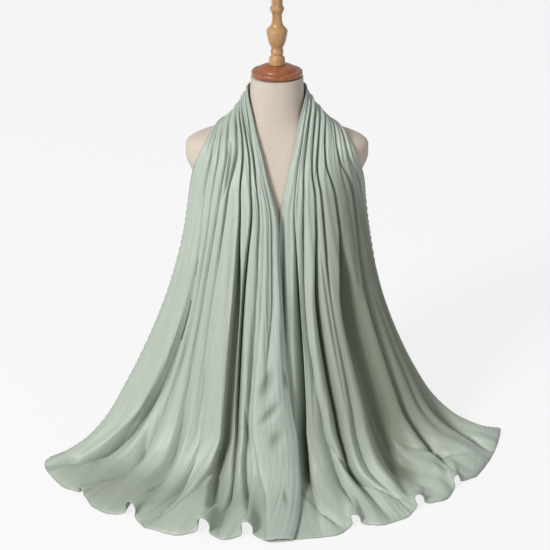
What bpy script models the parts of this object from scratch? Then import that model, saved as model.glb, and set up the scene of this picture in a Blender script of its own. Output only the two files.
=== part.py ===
"""A long satin headscarf laid round the neck of a limbless dress form.

The form stands on its flat underside at the origin and faces -Y. The scarf lies
round its nape, both ends fall in front, spread like a tent and lie on the ground.
Lengths are in metres, angles in degrees from the front, positive to the wearer's left (+X).
"""

from collections import namedtuple

import bmesh
import bpy
import numpy as np

# Driving dimensions
CLOTH_WALL = 0.0015
SEAM_GAP = 0.0006
FORM_CLEARANCE = 0.0021
GROUND_CLEARANCE = 0.0002
FORM_HEIGHT = 0.770
FORM_SQUARENESS = 2.2
CAP_GAP = 0.0003
CAP_HEIGHT = 0.024
FINIAL_HEIGHT = 0.160
TURNED_STEPS = 24
FORM_SIDES = 32
FORM_RINGS = 26
EDGE_LIFT = 0.0023
HEM_AT = 1.06

# Shape of valleys, and how much they widen and grow uneven below the chest
VALLEY_BREADTH = 1.3
VALLEY_SHARPNESS = 2.4
BELOW_CHEST_FROM = 0.38
BELOW_CHEST_RUN = 0.16
BANK_UNEVEN = 0.5
LEAN_SHARE = 0.6
LEAN_FULL_DEPTH = 0.014
LEAN_ENDS_FROM = 0.80
LEAN_ENDS_RUN = 0.12

# Rounded crests: their height for their width, and where it grows or fades
CROWN_SHARE = 0.14
CROWN_CHEST_SHARE = 0.35
CROWN_CHEST_FROM = 0.34
CROWN_CHEST_RUN = 0.20
CROWN_SKIRT_EXTRA = 0.7
CROWN_SKIRT_FROM = 0.84
CROWN_SKIRT_RUN = 0.08
CROWN_HEM_RUN = 0.10
CROWN_EDGE_SHARE = 0.10
CROWN_EDGE_RUN = 0.010

# Small arches and rounded corners at the hem
ARCH_RUN = 0.15
ARCH_REACH = 0.020
ARCH_SPREAD = 2.6
ARCH_PULL = 0.017
ARCH_FULL_HEIGHT = 0.022
LEFT_CORNER_ROUND = 0.045
RIGHT_CORNER_ROUND = 0.004
CORNER_RUN = 0.14

# Dress form: half width, and depth in front of and behind its axis, at each height
Section = namedtuple("Section", "height half_width front back")
FORM_SECTIONS = [
    Section(0.000, 0.150, 0.105, 0.110),
    Section(0.080, 0.163, 0.112, 0.125),
    Section(0.170, 0.168, 0.112, 0.130),
    Section(0.260, 0.150, 0.102, 0.108),
    Section(0.340, 0.122, 0.088, 0.085),
    Section(0.420, 0.131, 0.098, 0.088),
    Section(0.490, 0.146, 0.122, 0.095),
    Section(0.540, 0.156, 0.119, 0.100),
    Section(0.580, 0.168, 0.104, 0.102),
    Section(0.612, 0.179, 0.088, 0.100),
    Section(0.632, 0.179, 0.077, 0.094),
    Section(0.648, 0.160, 0.069, 0.085),
    Section(0.661, 0.125, 0.063, 0.075),
    Section(0.675, 0.090, 0.059, 0.066),
    Section(0.690, 0.067, 0.056, 0.060),
    Section(0.710, 0.057, 0.054, 0.056),
    Section(0.740, 0.0535, 0.053, 0.053),
    Section(FORM_HEIGHT, 0.0515, 0.0515, 0.0515),
]

# Turned profiles, from the top down: radius and height above the piece's own foot
Turning = namedtuple("Turning", "radius height")
CAP_PROFILE = [
    Turning(0.0000, CAP_HEIGHT), Turning(0.0140, 0.0236), Turning(0.0240, 0.0222),
    Turning(0.0320, 0.0196), Turning(0.0372, 0.0163), Turning(0.0385, 0.0145),
    Turning(0.0392, 0.0134), Turning(0.0440, 0.0131), Turning(0.0484, 0.0119),
    Turning(0.0503, 0.0094), Turning(0.0503, 0.0060), Turning(0.0484, 0.0025),
    Turning(0.0440, 0.0000), Turning(0.0000, 0.0000),
]
FINIAL_PROFILE = [
    Turning(0.0000, FINIAL_HEIGHT), Turning(0.0050, 0.1580), Turning(0.0095, 0.1530),
    Turning(0.0117, 0.1460), Turning(0.0121, 0.1380), Turning(0.0115, 0.1300),
    Turning(0.0107, 0.1200), Turning(0.0113, 0.1145), Turning(0.0134, 0.1120),
    Turning(0.0138, 0.1094), Turning(0.0124, 0.1050), Turning(0.0104, 0.1008),
    Turning(0.0096, 0.0960), Turning(0.0096, 0.0900), Turning(0.0106, 0.0825),
    Turning(0.0132, 0.0758), Turning(0.0182, 0.0702), Turning(0.0205, 0.0672),
    Turning(0.0204, 0.0630), Turning(0.0192, 0.0565), Turning(0.0162, 0.0430),
    Turning(0.0112, 0.0310), Turning(0.0125, 0.0262), Turning(0.0122, 0.0210),
    Turning(0.0113, 0.0185), Turning(0.0150, 0.0130), Turning(0.0158, 0.0080),
    Turning(0.0157, 0.0000), Turning(0.0000, 0.0000),
]

# Scarf stretches: at each place along the cloth from the nape, the angle, radius and
# height of its neck edge, its middle and its outer selvage
Station = namedtuple("Station", "along edge_turn mid_turn outer_turn edge_radius mid_radius "
                                "outer_radius edge_height mid_height outer_height")
LEFT_STATIONS = [
    Station(0.00, 180, 180, 180, 0.0610, 0.0760, 0.1080, 0.750, 0.702, 0.645),
    Station(0.10, 95, 98, 103, 0.0580, 0.0820, 0.1170, 0.748, 0.706, 0.669),
    Station(0.16, 56, 72, 78, 0.0630, 0.0980, 0.1380, 0.716, 0.687, 0.658),
    Station(0.24, 23.5, 50, 71, 0.0830, 0.1200, 0.1640, 0.643, 0.640, 0.622),
    Station(0.31, 8, 42, 76, 0.1120, 0.1400, 0.1740, 0.580, 0.585, 0.582),
    Station(0.38, 0, 39, 81, 0.1290, 0.1540, 0.1810, 0.527, 0.523, 0.522),
    Station(0.45, -1.1, 38, 80, 0.1420, 0.1690, 0.1930, 0.458, 0.455, 0.455),
    Station(0.60, -4.3, 36, 77, 0.1790, 0.2120, 0.2420, 0.302, 0.300, 0.300),
    Station(0.75, -7.4, 33, 74, 0.2240, 0.2650, 0.3230, 0.145, 0.145, 0.145),
    Station(0.83, -9.5, 32, 72.6, 0.2460, 0.2920, 0.3700, 0.080, 0.080, 0.080),
    Station(0.90, -9.3, 31.5, 72, 0.2770, 0.3310, 0.4200, 0.028, 0.030, 0.030),
    Station(0.94, -8.5, 31.5, 71.5, 0.3110, 0.3640, 0.4500, 0.0120, 0.015, 0.015),
    Station(1.00, -6.0, 32.3, 71.0, 0.3950, 0.4220, 0.4780, 0.0065, 0.007, 0.007),
    Station(1.06, -3.5, 33, 70.5, 0.4734, 0.4750, 0.5000, 0.0055, 0.001, 0.001),
]
RIGHT_STATIONS = [
    Station(0.00, 180, 180, 180, 0.0610, 0.0760, 0.1080, 0.750, 0.702, 0.645),
    Station(0.10, 95, 97, 100, 0.0580, 0.0830, 0.1200, 0.748, 0.706, 0.667),
    Station(0.16, 52, 70, 77, 0.0635, 0.1000, 0.1460, 0.716, 0.690, 0.654),
    Station(0.24, 20, 48, 71, 0.0870, 0.1240, 0.1660, 0.632, 0.635, 0.622),
    Station(0.31, 7, 42, 79, 0.1130, 0.1400, 0.1750, 0.572, 0.582, 0.580),
    Station(0.38, 2, 43, 87, 0.1240, 0.1500, 0.1800, 0.520, 0.523, 0.522),
    Station(0.45, 1.5, 43.5, 86.9, 0.1330, 0.1650, 0.1890, 0.458, 0.455, 0.455),
    Station(0.60, 1, 43.5, 86.2, 0.1630, 0.2070, 0.2220, 0.302, 0.300, 0.300),
    Station(0.75, 1, 43, 85, 0.1980, 0.2620, 0.2900, 0.145, 0.145, 0.145),
    Station(0.83, 1, 42.5, 84.3, 0.2160, 0.2870, 0.3350, 0.080, 0.080, 0.080),
    Station(0.90, 1, 42.5, 83.9, 0.2500, 0.3250, 0.3900, 0.018, 0.030, 0.032),
    Station(0.94, 1, 42.5, 83.7, 0.2900, 0.3580, 0.4200, 0.003, 0.015, 0.018),
    Station(1.00, 0.5, 41.8, 84.0, 0.3790, 0.4100, 0.4500, 0.0015, 0.007, 0.009),
    Station(1.06, 0, 41, 84.5, 0.4650, 0.4550, 0.4750, 0.001, 0.001, 0.004),
]
BACK_FROM = -0.10
BACK_TO = 0.10
BACK_BLEND = 0.02

# Main folds: where each valley line runs across the cloth at the places of FOLD_PLACES,
# its depth there, the height of its small arch at the hem, and how far the outer bank
# (positive) or the inner bank (negative) leans over it, as a share of its reach
FOLD_PLACES = (0.10, 0.20, 0.34, 0.56, 0.84, HEM_AT)
FOLD_REACH = (0.007, 0.0075, 0.0085, 0.016, 0.028, 0.028)
Fold = namedtuple("Fold", "name nape neck chest waist skirt hem nape_depth neck_depth "
                          "chest_depth waist_depth skirt_depth hem_depth arch lean breadth")
LEFT_FOLDS = [
    Fold("beside_turned_edge", 0.09, 0.10, 0.175, 0.21, 0.27, 0.175,
         0.008, 0.010, 0.014, 0.018, 0.020, 0.0, 0.030, 0.0, 0.55),
    Fold("inner_of_pair", 0.20, 0.19, 0.285, 0.318, 0.325, 0.26,
         0.010, 0.012, 0.022, 0.022, 0.008, 0.0, 0.0, 0.3, 0.60),
    Fold("deep_left", 0.315, 0.29, 0.385, 0.410, 0.425, 0.35,
         0.010, 0.014, 0.028, 0.044, 0.050, 0.0, 0.032, 0.7, 1.60),
    Fold("short_upper_left", 0.43, 0.40, 0.52, 0.55, 0.52, 0.46,
         0.010, 0.018, 0.036, 0.010, 0.006, 0.0, 0.0, 0.6, 0.90),
    Fold("soft_left", 0.56, 0.55, 0.61, 0.675, 0.63, 0.5625,
         0.009, 0.009, 0.006, 0.005, 0.006, 0.0, 0.030, 0.0, 1.10),
    Fold("low_left", 0.71, 0.68, 0.69, 0.725, 0.77, 0.70,
         0.005, 0.006, 0.005, 0.003, 0.008, 0.0, 0.018, 0.0, 1.00),
    Fold("side_crease_left", 0.85, 0.80, 0.78, 0.775, 0.865, 0.93,
         0.003, 0.005, 0.005, 0.011, 0.038, 0.003, 0.0, 0.6, 1.30),
]
RIGHT_FOLDS = [
    Fold("beside_centre", 0.09, 0.11, 0.15, 0.14, 0.20, 0.14,
         0.008, 0.007, 0.007, 0.034, 0.044, 0.0, 0.0, 0.7, 1.10),
    Fold("inner_right", 0.20, 0.21, 0.255, 0.225, 0.285, 0.25,
         0.010, 0.012, 0.013, 0.016, 0.010, 0.0, 0.030, 0.0, 0.55),
    Fold("centre_right", 0.315, 0.31, 0.385, 0.3125, 0.345, 0.36,
         0.010, 0.015, 0.024, 0.030, 0.024, 0.0, 0.0, 0.0, 0.70),
    Fold("short_upper_right", 0.43, 0.39, 0.45, 0.437, 0.43, 0.43,
         0.010, 0.016, 0.026, 0.024, 0.010, 0.0, 0.0, -0.3, 0.65),
    Fold("deep_right", 0.56, 0.50, 0.595, 0.5625, 0.5875, 0.50,
         0.009, 0.018, 0.030, 0.040, 0.042, 0.0, 0.030, -0.8, 1.15),
    Fold("shaded_right", 0.71, 0.70, 0.80, 0.715, 0.74, 0.675,
         0.005, 0.010, 0.022, 0.026, 0.028, 0.0, 0.030, 0.0, 0.90),
    Fold("corner_right", 0.85, 0.87, 0.91, 0.90, 0.92, 0.86,
         0.003, 0.006, 0.012, 0.018, 0.020, 0.0, 0.016, 0.0, 0.80),
]
PLEAT_COLUMNS = (0.0, 0.16, 0.38, 0.62, 0.84)
PANEL_ROWS = (0.10, 0.118, 0.136, 0.155, 0.175, 0.195, 0.216, 0.238, 0.262, 0.288, 0.316,
              0.348, 0.385, 0.43, 0.48, 0.54, 0.60, 0.66, 0.72, 0.775, 0.82, 0.86, 0.89,
              0.915, 0.945, 0.985, 1.025, HEM_AT)
BACK_ROWS = 11

# Turned-back edge: how far its free edge reaches over the left end, and the depth and
# place of its own valley, at places along the cloth
Turnback = namedtuple("Turnback", "along reach valley valley_depth")
TURNBACKS = [
    Turnback(0.17, 0.030, 0.50, 0.000),
    Turnback(0.22, 0.075, 0.50, 0.001),
    Turnback(0.34, 0.138, 0.55, 0.004),
    Turnback(0.47, 0.155, 0.58, 0.008),
    Turnback(0.57, 0.175, 0.58, 0.010),
    Turnback(0.66, 0.205, 0.70, 0.009),
    Turnback(0.79, 0.238, 0.60, 0.006),
    Turnback(0.88, 0.205, 0.50, 0.005),
    Turnback(0.97, 0.138, 0.50, 0.004),
    Turnback(HEM_AT, 0.085, 0.50, 0.000),
]
TURNBACK_SPLAY = 0.0030
TURNBACK_COLUMNS = 9


def smooth_curve(places, values):
    """Monotone cubic through a table: returns a function of arrays of places."""
    places = np.asarray(places, float)
    values = np.asarray(values, float)
    steps = np.diff(places)[:, None]
    slopes = np.diff(values, axis=0) / steps
    before, after = slopes[:-1], slopes[1:]
    weight = steps[1:] / (steps[1:] + steps[:-1])
    mixed = weight * before + (1 - weight) * after
    limit = 3 * np.minimum(abs(before), abs(after))
    inner = np.where(before * after <= 0, 0, np.sign(before) * np.minimum(abs(mixed), limit))
    tangents = np.vstack([slopes[:1], inner, slopes[-1:]])

    def value_at(where):
        where = np.asarray(where, float)
        span = np.clip(np.searchsorted(places, where) - 1, 0, len(places) - 2)
        step = steps[span]
        share = np.clip((where - places[span]) / step[..., 0], 0, 1)[..., None]
        start = (1 + 2 * share) * (1 - share) ** 2 * values[span]
        start_tangent = share * (1 - share) ** 2 * step * tangents[span]
        end = share ** 2 * (3 - 2 * share) * values[span + 1]
        end_tangent = share ** 2 * (share - 1) * step * tangents[span + 1]
        return start + start_tangent + end + end_tangent

    return value_at


def across_three(first, middle, last, share):
    """Parabola through the values at an edge, the middle and the other edge."""
    return (first * (1 - share) * (1 - 2 * share) + middle * 4 * share * (1 - share)
            + last * share * (2 * share - 1))


FORM_CURVE = smooth_curve([section.height for section in FORM_SECTIONS],
                          [section[1:] for section in FORM_SECTIONS])


def form_ratio(points):
    """1 on the dress form's side surface, more outside it, less inside."""
    sizes = FORM_CURVE(np.clip(points[..., 2], 0, FORM_HEIGHT))
    depth = np.where(points[..., 1] < 0, sizes[..., 1], sizes[..., 2])
    wide = abs(points[..., 0] / sizes[..., 0]) ** FORM_SQUARENESS
    deep = abs(points[..., 1] / depth) ** FORM_SQUARENESS
    return (wide + deep) ** (1 / FORM_SQUARENESS)


def clear_of_form(points, clearance):
    """Move points that are too near the dress form out along its normal."""
    probe = 0.0005
    for _ in range(6):
        ratio = form_ratio(points)
        gradient = np.stack([(form_ratio(points + probe * axis) - ratio) / probe
                             for axis in np.eye(3)], axis=-1)
        steepness = np.linalg.norm(gradient, axis=-1)
        distance = (ratio - 1) / steepness
        push = np.clip(clearance - distance, 0, 0.02)
        points = points + gradient * (push / steepness)[..., None]
    return points


def drape_point(curve, side, across, along):
    """Point of a scarf end's smooth form, before its folds."""
    row = curve(abs(along))
    turn = np.radians(across_three(row[..., 0], row[..., 1], row[..., 2], across)) * side
    radius = across_three(row[..., 3], row[..., 4], row[..., 5], across)
    height = across_three(row[..., 6], row[..., 7], row[..., 8], across)
    return np.stack([radius * np.sin(turn), -radius * np.cos(turn), height], axis=-1)


def ease(share):
    """0 below share 0, 1 above share 1, smooth between."""
    share = np.clip(share, 0, 1)
    return share * share * (3 - 2 * share)


def bump(distance):
    """Soft bump: 1 at distance 0, 0 from distance 1 on."""
    return np.cos(np.pi / 2 * np.clip(distance, -1, 1)) ** 2


def fold_values(folds, first, along):
    """The folds' values at FOLD_PLACES, from column first on, at places along the cloth."""
    table = [[fold[first + place] for fold in folds] for place in range(len(FOLD_PLACES))]
    return smooth_curve(FOLD_PLACES, table)(along)


def crown_relief(across, along, width, lines):
    """Rounded crests between the fold lines."""
    ones = np.ones(lines.shape[:-1] + (1,))
    edges = np.concatenate([0 * ones, lines, ones], axis=-1)
    after = edges - across[..., None]
    upper = np.where(after >= 0, after, 9).min(axis=-1)
    lower = np.where(after <= 0, -after, 9).min(axis=-1)
    pleat = upper + lower + 1e-6
    fade = np.clip((HEM_AT - along) / CROWN_HEM_RUN, 0, 1) ** 0.6
    fade = fade * (1 + CROWN_SKIRT_EXTRA * ease((along - CROWN_SKIRT_FROM) / CROWN_SKIRT_RUN))
    below_chest = ease((along - CROWN_CHEST_FROM) / CROWN_CHEST_RUN)
    fade = fade * (CROWN_CHEST_SHARE + (1 - CROWN_CHEST_SHARE) * below_chest)
    past_first = ease((across - lines[..., 0]) * width / CROWN_EDGE_RUN)
    fade = fade * (CROWN_EDGE_SHARE + (1 - CROWN_EDGE_SHARE) * past_first)
    return CROWN_SHARE * pleat * width * np.sin(np.pi * lower / pleat) * fade


def fold_relief(folds, offset, reach, along):
    """How far valleys and hem arches move the cloth out, by distance from their lines."""
    depths = fold_values(folds, 7, along)
    leans = np.array([fold.lean for fold in folds])
    below_chest = ease((along - BELOW_CHEST_FROM) / BELOW_CHEST_RUN)[..., None]
    breadths = np.array([fold.breadth for fold in folds])
    breadths = VALLEY_BREADTH * reach * (1 + (breadths - 1) * below_chest)
    breadths = breadths * (1 - BANK_UNEVEN * leans * np.sign(offset) * below_chest)
    nearness = 1 - np.clip(abs(offset) / breadths, 0, 1)
    relief = -(depths * nearness ** VALLEY_SHARPNESS).sum(axis=-1)
    arches = np.array([fold.arch for fold in folds])
    arches = (arches * bump(offset / ARCH_REACH) ** 0.7).sum(axis=-1)
    return relief + arches * ease((along - (HEM_AT - ARCH_RUN)) / ARCH_RUN)


def folded_end(stations, folds, side, across, along):
    """Points of a scarf end with its folds, clear of the form and the ground."""
    curve = smooth_curve([station.along for station in stations],
                         [station[1:] for station in stations])
    edges = [drape_point(curve, side, np.full_like(along, share), along)
             for share in (0.0, 0.25, 0.5, 0.75, 1.0)]
    width = sum(np.linalg.norm(after - before, axis=-1)
                for before, after in zip(edges, edges[1:]))
    corner_round = LEFT_CORNER_ROUND if side < 0 else RIGHT_CORNER_ROUND
    bend = np.clip(1 - (1 - across) * width / corner_round, 0, 1)
    shortfall = corner_round * (1 - np.sqrt(1 - bend ** 2))
    along = along - shortfall * ease((along - (HEM_AT - CORNER_RUN)) / CORNER_RUN)
    lines = fold_values(folds, 1, along)
    depths = fold_values(folds, 7, along)
    reach = smooth_curve(FOLD_PLACES, [[value] for value in FOLD_REACH])(along)
    offset = (across[..., None] - lines) * width[..., None]
    leans = np.array([fold.lean for fold in folds])
    strength = LEAN_SHARE * np.clip(depths / LEAN_FULL_DEPTH, 0, 1) * abs(leans) * reach
    strength = strength * (1 - ease((along - LEAN_ENDS_FROM) / LEAN_ENDS_RUN))[..., None]
    on_bank = np.clip(offset * np.sign(leans) / reach, 0, 3)
    shove = strength * np.where(on_bank < 1, np.sin(np.pi / 2 * np.clip(on_bank, 0, 1)) ** 2,
                                bump((on_bank - 1) / 2))
    shifted = across - (shove * np.sign(leans)).sum(axis=-1) / width
    near_hem = np.clip((along - (HEM_AT - ARCH_RUN)) / ARCH_RUN, 0, 1)
    arched = np.array([min(fold.arch / ARCH_FULL_HEIGHT, 1) for fold in folds])
    pull = (arched * ARCH_PULL * bump(offset / (ARCH_SPREAD * ARCH_REACH))).sum(axis=-1)
    pulled = along - pull * near_hem ** 2
    probe = 0.002
    base = drape_point(curve, side, shifted, pulled)
    by_across = drape_point(curve, side, shifted + probe, pulled) - base
    step = np.where(along > HEM_AT / 2, -probe, probe)
    by_along = (drape_point(curve, side, shifted, pulled + step) - base) * np.sign(step)[..., None]
    normal = np.cross(by_along, by_across) * side
    normal = normal / np.linalg.norm(normal, axis=-1, keepdims=True)
    relief = fold_relief(folds, offset, reach, along) + crown_relief(across, along, width, lines)
    points = base + normal * relief[..., None]
    points = clear_of_form(points, FORM_CLEARANCE)
    points[..., 2] = np.maximum(points[..., 2], GROUND_CLEARANCE + CLOTH_WALL / 2)
    return points


def fold_columns(folds, along):
    """Places across a scarf end for its mesh columns: valley lines, flanks and crowns."""
    lines = fold_values(folds, 1, along)
    edges = np.concatenate([np.zeros((len(along), 1)), lines, np.ones((len(along), 1))], axis=1)
    columns = []
    for pleat in range(edges.shape[1] - 1):
        start, end = edges[:, pleat], edges[:, pleat + 1]
        columns += [start + (end - start) * share for share in PLEAT_COLUMNS]
    columns.append(edges[:, -1])
    return np.stack(columns, axis=1)


def end_grid(stations, folds, side, rows):
    """Grid of points of one scarf end: rows along the cloth, columns across it."""
    along = np.array(rows)
    across = fold_columns(folds, along)
    return folded_end(stations, folds, side, across, np.broadcast_to(along[:, None], across.shape))


def back_grid():
    """Grid of the stretch behind the neck, from the left neck side to the right one."""
    rows = np.linspace(BACK_FROM + SEAM_GAP, BACK_TO - SEAM_GAP, BACK_ROWS)
    left = end_grid(LEFT_STATIONS, LEFT_FOLDS, -1, abs(rows))
    right = end_grid(RIGHT_STATIONS, RIGHT_FOLDS, 1, abs(rows))
    share = np.clip((rows / BACK_BLEND + 1) / 2, 0, 1)[:, None, None]
    return left * (1 - share) + right * share


def turnback_grid():
    """Grid of the left end's inner margin, turned back outward over the end itself."""
    table = smooth_curve([turn.along for turn in TURNBACKS], [turn[1:] for turn in TURNBACKS])
    along = np.array([place for place in PANEL_ROWS if place > TURNBACKS[0].along])
    reach, valley, depth = table(along).T
    share = np.linspace(0, 1, TURNBACK_COLUMNS)
    across = reach[:, None] * share
    places = np.broadcast_to(along[:, None], across.shape)
    under = folded_end(LEFT_STATIONS, LEFT_FOLDS, -1, across, places)
    along_step = np.gradient(under, axis=0)
    across_step = np.gradient(under, axis=1)
    normal = np.cross(across_step, along_step)
    normal = normal / np.linalg.norm(normal, axis=-1, keepdims=True)
    ridges = bump((share - 0.5 * valley[:, None]) / 0.3) + bump((share - 0.9) / 0.28)
    splay = TURNBACK_SPLAY * np.sin(np.pi * share) ** 0.5 * np.clip(reach[:, None] / 0.12, 0, 1)
    lift = EDGE_LIFT + splay + depth[:, None] * ridges
    points = under + normal * lift[..., None]
    points[..., 2] = np.maximum(points[..., 2], under[..., 2] + 0.4 * EDGE_LIFT)
    return points


def new_material(name, colour, roughness, metallic=0.0):
    material = bpy.data.materials.new(name)
    material.use_nodes = True
    shader = material.node_tree.nodes["Principled BSDF"]
    shader.inputs["Base Color"].default_value = (*colour, 1)
    shader.inputs["Roughness"].default_value = roughness
    shader.inputs["Metallic"].default_value = metallic
    return material


def new_object(name, mesh, material, collection, parent):
    piece = bpy.data.objects.new(name, mesh)
    collection.objects.link(piece)
    piece.parent = parent
    mesh.materials.append(material)
    mesh.shade_smooth()
    return piece


def cloth_sheet(name, grid, material, collection, parent):
    """Open sheet through a grid of points, made a wall by Solidify."""
    rows, columns = grid.shape[:2]
    bm = bmesh.new()
    verts = [[bm.verts.new(grid[row, column]) for column in range(columns)] for row in range(rows)]
    for row in range(rows - 1):
        for column in range(columns - 1):
            bm.faces.new((verts[row][column], verts[row][column + 1],
                          verts[row + 1][column + 1], verts[row + 1][column]))
    mesh = bpy.data.meshes.new(name)
    bm.to_mesh(mesh)
    bm.free()
    piece = new_object(name, mesh, material, collection, parent)
    wall = piece.modifiers.new("wall", "SOLIDIFY")
    wall.thickness = CLOTH_WALL
    wall.offset = 0
    wall.use_rim = True
    wall.use_quality_normals = True
    return piece


def dress_form(material, collection, parent):
    """Limbless torso: a loft through rounded sections, flat at its foot and its neck."""
    heights = np.unique(np.concatenate([np.linspace(0, FORM_HEIGHT, FORM_RINGS - 8),
                                        np.linspace(0.60, 0.70, 9)]).round(4))
    turns = np.linspace(0, 2 * np.pi, FORM_SIDES, endpoint=False)
    bm = bmesh.new()
    rings = []
    for height in heights:
        half_width, front, back = FORM_CURVE(height)
        ring = []
        for turn in turns:
            wide = np.sign(np.sin(turn)) * abs(np.sin(turn)) ** (2 / FORM_SQUARENESS)
            deep = np.sign(np.cos(turn)) * abs(np.cos(turn)) ** (2 / FORM_SQUARENESS)
            depth = front if deep > 0 else back
            ring.append(bm.verts.new((half_width * wide, -depth * deep, height)))
        rings.append(ring)
    for low, high in zip(rings, rings[1:]):
        for side in range(FORM_SIDES):
            after = (side + 1) % FORM_SIDES
            bm.faces.new((low[side], low[after], high[after], high[side]))
    bm.faces.new(rings[0][::-1])
    bm.faces.new(rings[-1])
    bmesh.ops.recalc_face_normals(bm, faces=bm.faces)
    mesh = bpy.data.meshes.new("dress_form")
    bm.to_mesh(mesh)
    bm.free()
    piece = new_object("dress_form", mesh, material, collection, parent)
    mesh.set_sharp_from_angle(angle=np.radians(40))
    return piece


def turned_piece(name, profile, foot, material, collection, parent):
    """Solid of revolution: a profile, from the top down, with a Screw modifier."""
    mesh = bpy.data.meshes.new(name)
    mesh.from_pydata([(point.radius, 0, point.height) for point in profile],
                     [(first, first + 1) for first in range(len(profile) - 1)], [])
    piece = new_object(name, mesh, material, collection, parent)
    piece.location.z = foot
    screw = piece.modifiers.new("turning", "SCREW")
    screw.steps = TURNED_STEPS
    screw.render_steps = TURNED_STEPS
    screw.use_merge_vertices = True
    screw.merge_threshold = 0.00005
    return piece


def main():
    for old in list(bpy.data.objects):
        bpy.data.objects.remove(old)
    collection = bpy.data.collections.new("headscarf_on_dress_form")
    bpy.context.scene.collection.children.link(collection)
    root = bpy.data.objects.new("stand_axis", None)
    collection.objects.link(root)

    satin = new_material("sage_satin", (0.36, 0.46, 0.38), 0.35)
    reverse = new_material("sage_reverse", (0.33, 0.40, 0.35), 0.55)
    linen = new_material("beige_linen", (0.62, 0.55, 0.48), 0.85)
    red_wood = new_material("reddish_wood", (0.36, 0.13, 0.06), 0.35)
    light_wood = new_material("light_wood", (0.55, 0.34, 0.17), 0.40)

    dress_form(linen, collection, root)
    cap_foot = FORM_HEIGHT + CAP_GAP
    turned_piece("neck_cap", CAP_PROFILE, cap_foot, red_wood, collection, root)
    turned_piece("finial", FINIAL_PROFILE, cap_foot + CAP_HEIGHT + CAP_GAP, light_wood,
                 collection, root)
    cloth_sheet("scarf_back_neck", back_grid(), satin, collection, root)
    cloth_sheet("scarf_end_left", end_grid(LEFT_STATIONS, LEFT_FOLDS, -1, PANEL_ROWS),
                satin, collection, root)
    cloth_sheet("scarf_end_right", end_grid(RIGHT_STATIONS, RIGHT_FOLDS, 1, PANEL_ROWS),
                satin, collection, root)
    cloth_sheet("scarf_turned_edge", turnback_grid(), reverse, collection, root)


main()
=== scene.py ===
"""Looks of a long crinkled satin headscarf laid round the neck of a limbless dress form."""

from collections import namedtuple

import bmesh
import bpy
import numpy as np
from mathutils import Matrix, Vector


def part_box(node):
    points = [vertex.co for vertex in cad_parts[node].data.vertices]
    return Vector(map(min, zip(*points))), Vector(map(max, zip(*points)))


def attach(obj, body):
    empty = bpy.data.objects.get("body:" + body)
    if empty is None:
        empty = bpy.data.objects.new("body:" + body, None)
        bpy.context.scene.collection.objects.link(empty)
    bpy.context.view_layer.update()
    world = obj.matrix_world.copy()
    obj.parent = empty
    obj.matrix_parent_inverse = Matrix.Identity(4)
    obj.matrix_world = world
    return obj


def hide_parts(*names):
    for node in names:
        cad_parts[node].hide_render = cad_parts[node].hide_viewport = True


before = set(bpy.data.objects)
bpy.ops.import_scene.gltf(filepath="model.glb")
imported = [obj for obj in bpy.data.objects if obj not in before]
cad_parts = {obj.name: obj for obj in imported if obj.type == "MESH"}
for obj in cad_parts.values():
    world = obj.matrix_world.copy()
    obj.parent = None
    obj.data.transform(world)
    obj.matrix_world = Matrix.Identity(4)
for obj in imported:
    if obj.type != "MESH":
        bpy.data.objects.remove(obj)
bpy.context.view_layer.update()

# Camera, fitted to the cap, the hem's curve and the selvages
CAMERA_PLACE = (-0.004, -2.8, 1.5849)
CAMERA_PITCH_DOWN = 23.93
CAMERA_LENS = 96.3
SENSOR_WIDTH = 36.0

# Stage: a pale glowing floor, pale surroundings, a soft key and a weak fill
FLOOR_SIZE = 24.0
FLOOR_GREY = 0.12
FLOOR_ROUGHNESS = 0.9
FLOOR_GLOW = 0.80
WORLD_STRENGTH = 0.48
Light = namedtuple("Light", "name place target size power colour")
LIGHTS = [
    Light("key", (-4.3, -4.7, 4.4), (0, -0.15, 0.4), 2.0, 505, (1.0, 0.99, 0.97)),
    Light("fill", (1.4, -4.0, 1.6), (0, -0.1, 0.35), 1.6, 10, (1.0, 0.96, 0.90)),
]

# Cloth: its cut, the solids' wall and the thinner one here, and what it is kept clear of
CUT_WIDTH = 0.70
CLOTH_WALL = 0.0015
SHEET_WALL = 0.0008
FORM_CLEARANCE = 0.0021
CLEARING_PASSES = 6
MOST_PUSH = 0.02
GROUND_CLEARANCE = 0.0002

# Where each end of the scarf starts, past the nape's middle, and where its hem lies
PANEL_FROM = 0.10
HEM_AT = 1.06

# Banks of the main folds: narrow at the chest, as broad as each fold asks below it
FOLD_BREADTH = 1.3
CHEST_BREADTH = 0.75
CHEST_SHARPNESS = 5.0
SKIRT_SHARPNESS = 2.4
BANK_UNEVEN = 0.75
BELOW_CHEST_FROM = 0.40
BELOW_CHEST_RUN = 0.20
TROUGH_SLOPE = 1.7
TROUGH_FLOOR = 0.1

# Banks that lean over their valley: the depth that leans in full, how many reaches further
# the lean fades over, and where along the cloth it ends
LEAN_FULL_DEPTH = 0.014
LEAN_FALL = 2
LEAN_ENDS_FROM = 0.80
LEAN_ENDS_RUN = 0.12

# Rounded crests between the folds: lower at the chest, at the hem and at the inner edge
CROWN_SHARE = 0.12
CROWN_CHEST_SHARE = 0.20
CROWN_CHEST_RUN = 0.3
CROWN_SKIRT_EXTRA = 0.7
CROWN_SKIRT_FROM = 0.84
CROWN_SKIRT_RUN = 0.08
CROWN_HEM_RUN = 0.10
CROWN_HEM_POWER = 0.6
CROWN_EDGE_SHARE = 0.10
CROWN_EDGE_RUN = 0.01

# Small arches that the folds end in at the hem, and how far they pull the hem back
ARCH_RUN = 0.15
ARCH_ROUND_RUN = 0.05
ARCH_REACH = 0.026
ARCH_SPREAD = 0.052
ARCH_PULL = 0.022
ARCH_FULL_HEIGHT = 0.022
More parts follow.
